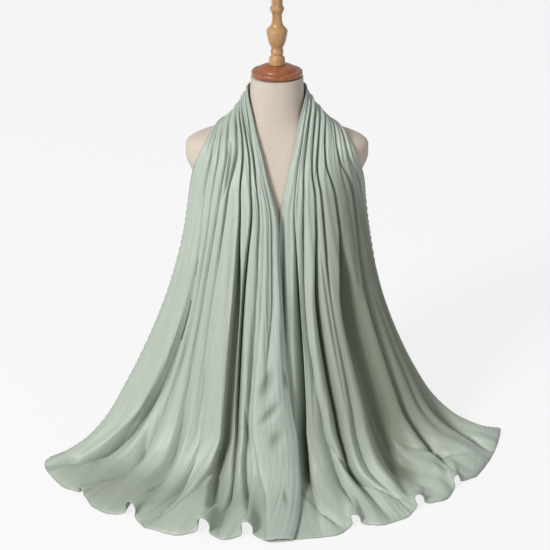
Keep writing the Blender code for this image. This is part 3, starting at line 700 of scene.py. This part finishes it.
    def grid(self, along, covered=None):
        """Rows along, columns across: points, their places across and their painted shade.

        Where another layer covers the cloth from across 0 on, it is kept smooth.
        """
        across = self.grid_places(abs(along))
        places = np.broadcast_to(along[:, None], across.shape)
        fine = 1.0
        if covered is not None:
            fine = ease((across / covered - COVERED_TO) / COVERED_RUN)
        points, relief = self.surface(across, places, fine)
        # Painted shade: darker colour in the folds' depth and in the bands of painted shade
        shade = np.clip((-relief - SHADE_FROM) / SHADE_DEPTH, 0, 1)
        for shade_band in self.shade_bands:
            share = np.clip((places - shade_band.start) / (shade_band.end - shade_band.start), 0, 1)
            line = shade_band.across_start + (shade_band.across_end - shade_band.across_start) * share
            fade = bump(2 * share - 1) ** SHADE_BAND_FADE_POWER
            shade = shade + shade_band.strength * bump((across - line) / shade_band.reach) * fade
        return points, across, np.clip(shade, 0, 1)


LEFT_END = ScarfEnd(LEFT_STATIONS, LEFT_FOLDS, LEFT_CREASES, LEFT_SHADE_BANDS, -1, LEFT_CORNER_ROUND)
RIGHT_END = ScarfEnd(RIGHT_STATIONS, RIGHT_FOLDS, RIGHT_CREASES, RIGHT_SHADE_BANDS, 1,
                     RIGHT_CORNER_ROUND)
TURNBACK_CURVE = smooth_curve([turn.along for turn in TURNBACKS],
                              [turn[1:] for turn in TURNBACKS])


def dent_depth(share, along):
    """How deep the dents press the turned-back margin in, in metres."""
    total = np.zeros(share.shape)
    for dent in TURNBACK_DENTS:
        turned = (along - dent.along) + dent.slant * (share - dent.share)
        near = np.hypot(turned / dent.length, (share - dent.share) / dent.breadth)
        total = total + dent.depth * bump(near)
    return total


def groove_shape(share, along):
    """1 in the turned-back margin's long groove, 0 beside it."""
    reach, valley, _ = np.moveaxis(TURNBACK_CURVE(along), -1, 0)
    distance = (share - valley) * reach * LEFT_END.width(along) / GROOVE_REACH
    middle = (GROOVE_FROM + GROOVE_TO) / 2
    fade = bump((along - middle) / (GROOVE_TO - middle)) ** GROOVE_FADE_POWER
    return valley_shape(distance, GROOVE_SHARPNESS) * fade


def turnback_points(share, along):
    """Points of the left end's turned-back margin: share 0 at the fold, 1 at its free edge."""
    reach, valley, depth = np.moveaxis(TURNBACK_CURVE(along), -1, 0)
    across = reach * share
    probe = 0.004
    under = LEFT_END.smooth_points(across, along)
    by_across = LEFT_END.smooth_points(across + probe, along) - under
    step = np.where(along > HEM_AT / 2, -probe, probe)
    by_along = (LEFT_END.smooth_points(across, along + step) - under) * np.sign(step)[..., None]
    normal = np.cross(by_across, by_along)
    normal = normal / np.linalg.norm(normal, axis=-1, keepdims=True)
    ridges = bump((share - valley / 2) / INNER_RIDGE_REACH)
    ridges = ridges + bump((share - OUTER_RIDGE_AT) / OUTER_RIDGE_REACH)
    wide = np.clip(reach / TURNBACK_FULL_REACH, 0, 1)
    crinkle = waves(across, along, TURNBACK_SEED, *TURNBACK_WAVES) * TURNBACK_CRINKLE
    splay = TURNBACK_SPLAY * np.sin(np.pi * np.clip(share, 0, 1)) ** 0.5 * wide
    lift = EDGE_LIFT + 2 * splay + depth * ridges + crinkle * wide - dent_depth(share, along)
    lift = lift - GROOVE_DEPTH * groove_shape(share, along)
    lift = np.maximum(lift, LEAST_LIFT_SHARE * EDGE_LIFT)
    points = under + normal * lift[..., None]
    points[..., 2] = np.maximum(points[..., 2], under[..., 2] + LEAST_RISE_SHARE * EDGE_LIFT)
    return points


def left_sheet(along):
    """Grid of the whole left end: turned-back margin, its rounded fold, then the end itself."""
    reach = TURNBACK_CURVE(along)[:, :1]
    panel, across, shade = LEFT_END.grid(along, reach)
    shares = np.linspace(1, 0, TURNBACK_STEPS)
    places = np.broadcast_to(along[:, None], (len(along), TURNBACK_STEPS))
    margin_shares = np.broadcast_to(shares, places.shape)
    margin = turnback_points(margin_shares, places)
    top, foot = margin[:, -1], panel[:, 0]
    middle, half = (top + foot) / 2, (top - foot) / 2
    outward = panel[:, 0] - panel[:, 1]
    outward = outward / np.linalg.norm(outward, axis=-1, keepdims=True)
    bulge = np.linalg.norm(half, axis=-1, keepdims=True)
    turn = []
    for step in range(1, TURN_STEPS + 1):
        angle = np.pi * step / (TURN_STEPS + 1)
        turn.append(middle + half * np.cos(angle) + outward * bulge * np.sin(angle))
    grid = np.concatenate([margin, np.stack(turn, axis=1), panel], axis=1)
    turn_across = np.zeros((len(along), TURN_STEPS))
    across = np.concatenate([-reach * shares, turn_across, across], axis=1)
    # Painted shade in the margin's dents and long groove
    painted_dent_shade = dent_depth(margin_shares, places) / DENT_SHADE_DEPTH
    painted_dent_shade = painted_dent_shade + DENT_SHADE_MOST * groove_shape(margin_shares, places)
    painted_dent_shade = np.clip(painted_dent_shade, 0, DENT_SHADE_MOST)
    return grid, across, np.concatenate([painted_dent_shade, turn_across, shade], axis=1)


def back_sheet(rows):
    """Grid of the stretch behind the neck, from one neck side to the other."""
    left, across, shade = LEFT_END.grid(rows)
    right, _, _ = RIGHT_END.grid(rows)
    share = (rows / PANEL_FROM + 1) / 2
    share = np.clip((share - BACK_BLEND_FROM) / BACK_BLEND_RUN, 0, 1)[:, None, None]
    return left * (1 - share) + right * share, across, shade


def new_material(name):
    """Empty node material: returns it with its node tree and shader."""
    material = bpy.data.materials.new(name)
    material.use_nodes = True
    tree = material.node_tree
    return material, tree, tree.nodes["Principled BSDF"]


def link(tree, source, output, target, socket):
    """Join one node's output to another node's socket."""
    tree.links.new(source.outputs[output], target.inputs[socket])


def noise(tree, coordinates, kind, stretch, detail, roughness=0.5):
    """Noise texture on one kind of coordinates, in waves per metre on each axis."""
    mapping = tree.nodes.new("ShaderNodeMapping")
    mapping.inputs["Scale"].default_value = stretch
    link(tree, coordinates, kind, mapping, "Vector")
    texture = tree.nodes.new("ShaderNodeTexNoise")
    texture.inputs["Scale"].default_value = 1.0
    texture.inputs["Detail"].default_value = detail
    texture.inputs["Roughness"].default_value = roughness
    link(tree, mapping, "Vector", texture, "Vector")
    return texture


def ramp(tree, texture, output, stops):
    """Colour ramp over a texture's value: stops are (position, colour)."""
    node = tree.nodes.new("ShaderNodeValToRGB")
    elements = node.color_ramp.elements
    while len(elements) < len(stops):
        elements.new(0.5)
    for element, (position, colour) in zip(elements, stops):
        element.position = position
        element.color = (*colour, 1)
    link(tree, texture, output, node, "Fac")
    return node


def add_bump(tree, shader, texture, output, distance, strength, before=None):
    """Bump node from a texture's value, after another bump if there is one."""
    node = tree.nodes.new("ShaderNodeBump")
    node.inputs["Distance"].default_value = distance
    node.inputs["Strength"].default_value = strength
    link(tree, texture, output, node, "Height")
    if before is not None:
        link(tree, before, "Normal", node, "Normal")
    link(tree, node, "Normal", shader, "Normal")
    return node


def satin(name, light, dark, deep, roughness, crinkle, anisotropic):
    """Crinkled satin: the map's U is metres across the cloth, V metres along it.

    The colour goes over to the deep one, a painted shade, in the depth of the folds, in bands
    and in dents.
    """
    material, tree, shader = new_material(name)
    coordinates = tree.nodes.new("ShaderNodeTexCoord")
    streaks = noise(tree, coordinates, "UV", (210, 12, 1), 4.0, 0.65)
    colour = ramp(tree, streaks, "Fac", [(0.30, dark), (0.70, light)])
    # Painted shade: the sheets' shade attribute mixes the deep colour in
    painted_shade = tree.nodes.new("ShaderNodeAttribute")
    painted_shade.attribute_name = "painted_shade"
    mix = tree.nodes.new("ShaderNodeMixRGB")
    link(tree, painted_shade, "Fac", mix, "Fac")
    link(tree, colour, "Color", mix, "Color1")
    mix.inputs["Color2"].default_value = (*deep, 1)
    link(tree, mix, "Color", shader, "Base Color")
    crinkles = noise(tree, coordinates, "UV", (330, 28, 1), 3.0, 0.6)
    first = add_bump(tree, shader, crinkles, "Fac", 0.0012, crinkle)
    weave = noise(tree, coordinates, "UV", (3000, 2200, 1), 2.0)
    add_bump(tree, shader, weave, "Fac", 0.0002, 0.25, first)
    shader.inputs["Roughness"].default_value = roughness
    shader.inputs["Anisotropic"].default_value = anisotropic
    shader.inputs["Sheen Weight"].default_value = 0.08
    shader.inputs["Sheen Roughness"].default_value = 0.45
    shader.inputs["Specular IOR Level"].default_value = 0.5
    return material


def linen():
    """Matt beige linen: two crossing sets of uneven threads."""
    material, tree, shader = new_material("beige_linen")
    coordinates = tree.nodes.new("ShaderNodeTexCoord")
    threads = noise(tree, coordinates, "Object", (300, 300, 2400), 2.0)
    cross = noise(tree, coordinates, "Object", (2400, 2400, 300), 2.0)
    mix = tree.nodes.new("ShaderNodeMath")
    mix.operation = "ADD"
    link(tree, threads, "Fac", mix, 0)
    link(tree, cross, "Fac", mix, 1)
    half = tree.nodes.new("ShaderNodeMath")
    half.operation = "MULTIPLY"
    half.inputs[1].default_value = 0.5
    link(tree, mix, 0, half, 0)
    colour = ramp(tree, half, 0, [(0.35, (0.44, 0.37, 0.305)), (0.65, (0.63, 0.565, 0.49))])
    link(tree, colour, "Color", shader, "Base Color")
    add_bump(tree, shader, half, 0, 0.0005, 0.5)
    shader.inputs["Roughness"].default_value = 0.9
    shader.inputs["Sheen Weight"].default_value = 0.1
    return material


def wood(name, dark, light, roughness, coat):
    """Varnished wood: grain drawn out along the turning axis."""
    material, tree, shader = new_material(name)
    coordinates = tree.nodes.new("ShaderNodeTexCoord")
    grain = noise(tree, coordinates, "Object", (160, 160, 14), 6.0)
    colour = ramp(tree, grain, "Fac", [(0.30, dark), (0.52, light), (0.75, dark)])
    link(tree, colour, "Color", shader, "Base Color")
    pores = noise(tree, coordinates, "Object", (900, 900, 60), 2.0)
    add_bump(tree, shader, pores, "Fac", 0.0003, 0.25)
    shader.inputs["Roughness"].default_value = roughness
    shader.inputs["Coat Weight"].default_value = coat
    shader.inputs["Coat Roughness"].default_value = 0.18
    return material


def add_object(name, data):
    """New object in the scene's own collection."""
    item = bpy.data.objects.new(name, data)
    bpy.context.scene.collection.objects.link(item)
    return item


def sheet_object(name, grid, across, shade, along, materials):
    """Thin closed cloth shell through a grid, with a map in metres of cloth.

    The first material takes the side that the grid's faces point to, the second the other.
    """
    rows, columns = grid.shape[:2]
    numbers = np.arange(rows * columns).reshape(rows, columns)
    faces = np.stack([numbers[:-1, :-1], numbers[:-1, 1:], numbers[1:, 1:], numbers[1:, :-1]],
                     axis=-1).reshape(-1, 4)
    mesh = bpy.data.meshes.new(name)
    mesh.from_pydata(grid.reshape(-1, 3).tolist(), [], faces.tolist())
    uv = np.stack([across * CUT_WIDTH, np.broadcast_to(along[:, None], across.shape)], axis=-1)
    uv = uv.reshape(-1, 2)[faces.reshape(-1)]
    layer = mesh.uv_layers.new(name="cloth")
    layer.data.foreach_set("uv", uv.astype(np.float32).reshape(-1))
    # Painted shade, for the satin's deep colour
    shade_layer = mesh.attributes.new("painted_shade", "FLOAT", "POINT")
    shade_layer.data.foreach_set("value", shade.astype(np.float32).reshape(-1))
    for material in materials:
        mesh.materials.append(material)
    mesh.shade_smooth()
    piece = add_object(name, mesh)
    wall = piece.modifiers.new("wall", "SOLIDIFY")
    wall.thickness = SHEET_WALL
    wall.offset = 0
    wall.use_quality_normals = True
    wall.material_offset = 1
    return piece


def hem_object(name, path, material):
    """Rolled hem: a thin round tube along an edge of the cloth."""
    curve = bpy.data.curves.new(name, "CURVE")
    curve.dimensions = "3D"
    curve.bevel_depth = HEM_RADIUS
    curve.bevel_resolution = 1
    curve.use_fill_caps = True
    spline = curve.splines.new("POLY")
    spline.points.add(len(path) - 1)
    values = np.concatenate([path, np.ones((len(path), 1))], axis=1)
    spline.points.foreach_set("co", values.reshape(-1))
    rolls = 1 + HEM_UNEVEN * np.sin(np.arange(len(path)) * HEM_UNEVEN_STEP)
    spline.points.foreach_set("radius", rolls)
    curve.materials.append(material)
    return add_object(name, curve)


def open_edges(grid):
    """Path down the inner edge of an end's grid, along its hem and up its selvage."""
    return np.concatenate([grid[:, 0], grid[-1], grid[::-1, -1]])


def hem_path(edge):
    """Even points along a cloth edge, clear of the ground."""
    steps = np.linalg.norm(np.diff(edge, axis=0), axis=1)
    length = np.concatenate([[0], np.cumsum(steps)])
    places = np.arange(0, length[-1], HEM_SPACING)
    path = np.stack([np.interp(places, length, edge[:, axis]) for axis in range(3)], axis=1)
    path[:, 2] = np.maximum(path[:, 2], HEM_RADIUS * HEM_LEAST_HEIGHT)
    return path


def join_rings(bm, rings):
    """Faces between neighbouring rings of vertices, where a single vertex is a tip."""
    sides = max(len(ring) for ring in rings)
    for first, second in zip(rings, rings[1:]):
        for side in range(sides):
            after = (side + 1) % sides
            if len(first) == 1:
                bm.faces.new((first[0], second[side], second[after]))
            elif len(second) == 1:
                bm.faces.new((first[after], first[side], second[0]))
            else:
                bm.faces.new((first[side], second[side], second[after], first[after]))


def closed_object(name, bm, material):
    """Smooth object from a closed bmesh, with its sharp edges kept."""
    bmesh.ops.recalc_face_normals(bm, faces=bm.faces)
    mesh = bpy.data.meshes.new(name)
    bm.to_mesh(mesh)
    bm.free()
    mesh.materials.append(material)
    mesh.shade_smooth()
    mesh.set_sharp_from_angle(angle=np.radians(SHARP_ANGLE))
    return add_object(name, mesh)


def lathe_object(name, profile, foot, sides, material):
    """Turned solid with a profile smoothed between its listed points."""
    corners = np.array(profile)
    steps = np.linalg.norm(np.diff(corners, axis=0), axis=1)
    length = np.concatenate([[0], np.cumsum(steps)])
    fine = np.unique(np.concatenate([np.linspace(start, end, PROFILE_REFINE, endpoint=False)
                                     for start, end in zip(length, length[1:])]))
    outline = np.concatenate([smooth_curve(length, corners)(fine), corners[-1:]])
    bm = bmesh.new()
    turns = np.linspace(0, 2 * np.pi, sides, endpoint=False)
    rings = []
    for radius, height in outline:
        ring = [(0, 0)]
        if radius > 0:
            ring = [(radius * np.cos(turn), radius * np.sin(turn)) for turn in turns]
        rings.append([bm.verts.new((x, y, foot + height)) for x, y in ring])
    join_rings(bm, rings)
    return closed_object(name, bm, material)


def form_object(material):
    """Dress form with its neck seam and centre seams pressed in."""
    heights = np.linspace(0, FORM_HEIGHT, FORM_RINGS)
    sizes = FORM_CURVE(heights)
    turns = np.linspace(0, 2 * np.pi, FORM_SIDES, endpoint=False)
    wide = np.sign(np.sin(turns)) * abs(np.sin(turns)) ** (2 / FORM_SQUARENESS)
    deep = np.sign(np.cos(turns)) * abs(np.cos(turns)) ** (2 / FORM_SQUARENESS)
    depth = np.where(deep > 0, sizes[:, 1:2], sizes[:, 2:3])
    x, y = sizes[:, :1] * wide, -depth * deep
    z = np.broadcast_to(heights[:, None], x.shape)
    seam_height = NECK_SEAM_HEIGHT - NECK_SEAM_SLOPE * y
    groove = SEAM_DEPTH * bump((z - seam_height) / NECK_SEAM_REACH)
    below_seam = z < seam_height
    groove = groove + SEAM_DEPTH * bump(x / CENTRE_SEAM_REACH) * below_seam
    shrink = 1 - groove / np.hypot(x, y)
    grid = np.stack([x * shrink, y * shrink, z], axis=-1)
    bm = bmesh.new()
    rings = [[bm.verts.new(point) for point in ring] for ring in grid]
    join_rings(bm, rings)
    bm.faces.new(rings[0][::-1])
    bm.faces.new(rings[-1])
    return closed_object("form_linen", bm, material)


def add_camera():
    """Camera in front, looking down at the scarf."""
    data = bpy.data.cameras.new("camera")
    data.lens = CAMERA_LENS
    data.sensor_width = SENSOR_WIDTH
    camera = add_object("camera", data)
    camera.location = CAMERA_PLACE
    camera.rotation_euler = (np.radians(90 - CAMERA_PITCH_DOWN), 0, 0)
    bpy.context.scene.camera = camera


def add_light(light):
    """Round area light, aimed at its target."""
    data = bpy.data.lights.new(light.name, "AREA")
    data.shape = "DISK"
    data.size = light.size
    data.energy = light.power
    data.color = light.colour
    lamp = add_object(light.name, data)
    lamp.location = light.place
    direction = Vector(light.target) - Vector(light.place)
    lamp.rotation_euler = direction.to_track_quat("-Z", "Y").to_euler()


def add_stage():
    """Pale floor, pale surroundings and the lights."""
    material, _, shader = new_material("floor_white")
    shader.inputs["Base Color"].default_value = (FLOOR_GREY, FLOOR_GREY, FLOOR_GREY, 1)
    shader.inputs["Roughness"].default_value = FLOOR_ROUGHNESS
    shader.inputs["Emission Color"].default_value = (1, 1, 1, 1)
    shader.inputs["Emission Strength"].default_value = FLOOR_GLOW
    mesh = bpy.data.meshes.new("floor")
    half = FLOOR_SIZE / 2
    mesh.from_pydata([(-half, -half, 0), (half, -half, 0), (half, half, 0), (-half, half, 0)],
                     [], [(0, 1, 2, 3)])
    mesh.materials.append(material)
    floor = add_object("floor", mesh)
    floor.visible_diffuse = False
    world = bpy.data.worlds.new("surroundings")
    world.use_nodes = True
    background = world.node_tree.nodes["Background"]
    background.inputs["Color"].default_value = (1, 1, 1, 1)
    background.inputs["Strength"].default_value = WORLD_STRENGTH
    bpy.context.scene.world = world
    for light in LIGHTS:
        add_light(light)
    bpy.context.scene.view_settings.view_transform = "Standard"


def dressed(piece, nodes):
    """Ride the one body and stand for the nodes, whose imported parts are hidden."""
    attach(piece, "root")
    if nodes:
        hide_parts(*nodes)
    return piece


add_camera()
add_stage()

# Each satin's deep colour is a painted shade, laid on by the sheets' shade attribute
face = satin("sage_satin", light=(0.44, 0.503, 0.445), dark=(0.37, 0.427, 0.368),
             deep=(0.195, 0.225, 0.17), roughness=0.46, crinkle=0.6, anisotropic=0.35)
reverse = satin("sage_reverse", light=(0.41, 0.47, 0.42), dark=(0.35, 0.41, 0.36),
                deep=(0.22, 0.26, 0.21), roughness=0.62, crinkle=0.7, anisotropic=0.1)
hem_satin = satin("sage_hem", light=(0.34, 0.40, 0.34), dark=(0.27, 0.33, 0.27),
                  deep=(0.25, 0.30, 0.20), roughness=0.5, crinkle=0.2, anisotropic=0.0)
red_wood = wood("reddish_wood", dark=(0.16, 0.040, 0.012), light=(0.34, 0.100, 0.032),
                roughness=0.40, coat=0.4)
light_wood = wood("light_wood", dark=(0.28, 0.14, 0.05), light=(0.46, 0.26, 0.11),
                  roughness=0.45, coat=0.25)

dressed(form_object(linen()), ["dress_form"])
cap_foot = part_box("neck_cap")[0].z
finial_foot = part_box("finial")[0].z
dressed(lathe_object("cap_turned", CAP_PROFILE, cap_foot, CAP_SIDES, red_wood),
        ["neck_cap"])
dressed(lathe_object("finial_turned", FINIAL_PROFILE, finial_foot, FINIAL_SIDES, light_wood),
        ["finial"])

end_rows = np.linspace(PANEL_FROM, HEM_AT, PANEL_ROWS)
left_grid, left_across, left_shade = left_sheet(end_rows)
left = sheet_object("left_end_cloth", left_grid, left_across, left_shade, end_rows,
                    [face, reverse])
right_grid, right_across, right_shade = RIGHT_END.grid(end_rows)
right = sheet_object("right_end_cloth", right_grid, right_across, right_shade, end_rows,
                     [reverse, face])
back_rows = np.linspace(-PANEL_FROM, PANEL_FROM, BACK_ROWS)
back_grid, back_across, back_shade = back_sheet(back_rows)
back = sheet_object("back_neck_cloth", back_grid, back_across, back_shade, back_rows,
                    [reverse, face])
dressed(left, ["scarf_end_left", "scarf_turned_edge"])
dressed(right, ["scarf_end_right"])
dressed(back, ["scarf_back_neck"])

for hem_name, edge in (("left_hem", open_edges(left_grid)),
                       ("right_hem", open_edges(right_grid)),
                       ("back_neck_hem", back_grid[:, 0]),
                       ("back_outer_hem", back_grid[:, -1])):
    dressed(hem_object(hem_name, hem_path(edge), hem_satin), [])
